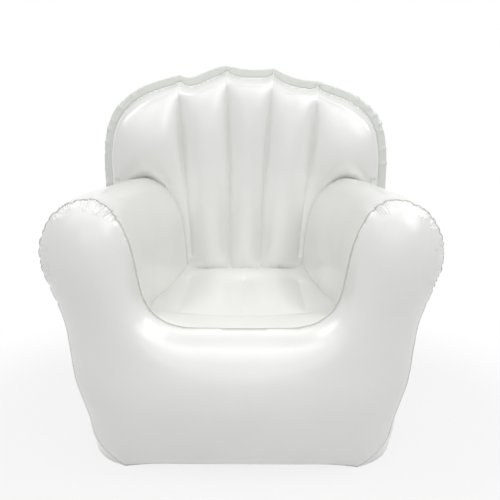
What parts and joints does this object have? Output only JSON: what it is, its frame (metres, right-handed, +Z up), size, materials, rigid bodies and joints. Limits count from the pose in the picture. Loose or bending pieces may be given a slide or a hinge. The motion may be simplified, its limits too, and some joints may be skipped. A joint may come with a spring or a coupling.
{
  "type": "inflatable armchair",
  "caption": "Inflatable vinyl armchair with a deep seat, two rounded arms, a channelled leaning back and push-in air valves.",
  "frame": {"origin": "on the floor, under the middle of the base chamber's seam depth", "axes": "+Z up, -Y out of the front of the chair, +X towards the arm that carries the base valve"},
  "size_m": [0.9322, 0.8361, 0.9161],
  "materials": {
    "pearl_vinyl": "pearl satin",
    "baffle_vinyl": "satin",
    "valve_vinyl": "satin"
  },
  "bodies": {
    "shell": {"front_panel": "pearl_vinyl", "left_arm_panel": "pearl_vinyl", "right_arm_panel": "pearl_vinyl", "seat_panel": "pearl_vinyl", "base_panel": "pearl_vinyl", "base_rear_panel": "pearl_vinyl", "back_front_panel": "pearl_vinyl", "back_rear_panel": "pearl_vinyl", "seat_baffle_left": "baffle_vinyl", "seat_baffle_centre": "baffle_vinyl", "seat_baffle_right": "baffle_vinyl", "seat_cross_baffle": "baffle_vinyl", "back_baffle_1": "baffle_vinyl", "back_baffle_2": "baffle_vinyl", "back_baffle_3": "baffle_vinyl", "back_baffle_4": "baffle_vinyl", "base_valve_flange": "valve_vinyl", "base_valve_boot": "valve_vinyl", "back_valve_flange": "valve_vinyl", "back_valve_boot": "valve_vinyl"},
    "base_valve_neck": {"base_valve_neck": "valve_vinyl"},
    "base_valve_plug": {"base_valve_plug": "valve_vinyl"},
    "base_valve_flap": {"base_valve_flap": "valve_vinyl"},
    "back_valve_neck": {"back_valve_neck": "valve_vinyl"},
    "back_valve_plug": {"back_valve_plug": "valve_vinyl"},
    "back_valve_flap": {"back_valve_flap": "valve_vinyl"}
  },
  "joints": [
    {"name": "base_valve_slide", "type": "slide", "parent": "shell", "child": "base_valve_neck", "axis": [0.9967, 0.0187, -0.0786], "range_m": [0, 0.012]},
    {"name": "base_valve_plug_hinge", "type": "hinge", "parent": "base_valve_neck", "child": "base_valve_plug", "pos_m": [0.40334, 0.16213, 0.20596], "axis": [-0.0786, -0.0015, -0.9969], "range_deg": [0, 160]},
    {"name": "base_valve_flap_hinge", "type": "hinge", "parent": "base_valve_neck", "child": "base_valve_flap", "pos_m": [0.38752, 0.16814, 0.20719], "axis": [0.0786, 0.0015, 0.9969], "range_deg": [0, 55]},
    {"name": "back_valve_slide", "type": "slide", "parent": "shell", "child": "back_valve_neck", "axis": [0.0192, 0.987, -0.1593], "range_m": [0, 0.012]},
    {"name": "back_valve_plug_hinge", "type": "hinge", "parent": "back_valve_neck", "child": "back_valve_plug", "pos_m": [0.11256, 0.42348, 0.2595], "axis": [-0.0031, -0.1593, -0.9872], "range_deg": [0, 160]},
    {"name": "back_valve_flap_hinge", "type": "hinge", "parent": "back_valve_neck", "child": "back_valve_flap", "pos_m": [0.10596, 0.40806, 0.26201], "axis": [0.0031, 0.1593, 0.9872], "range_deg": [0, 55]}
  ]
}
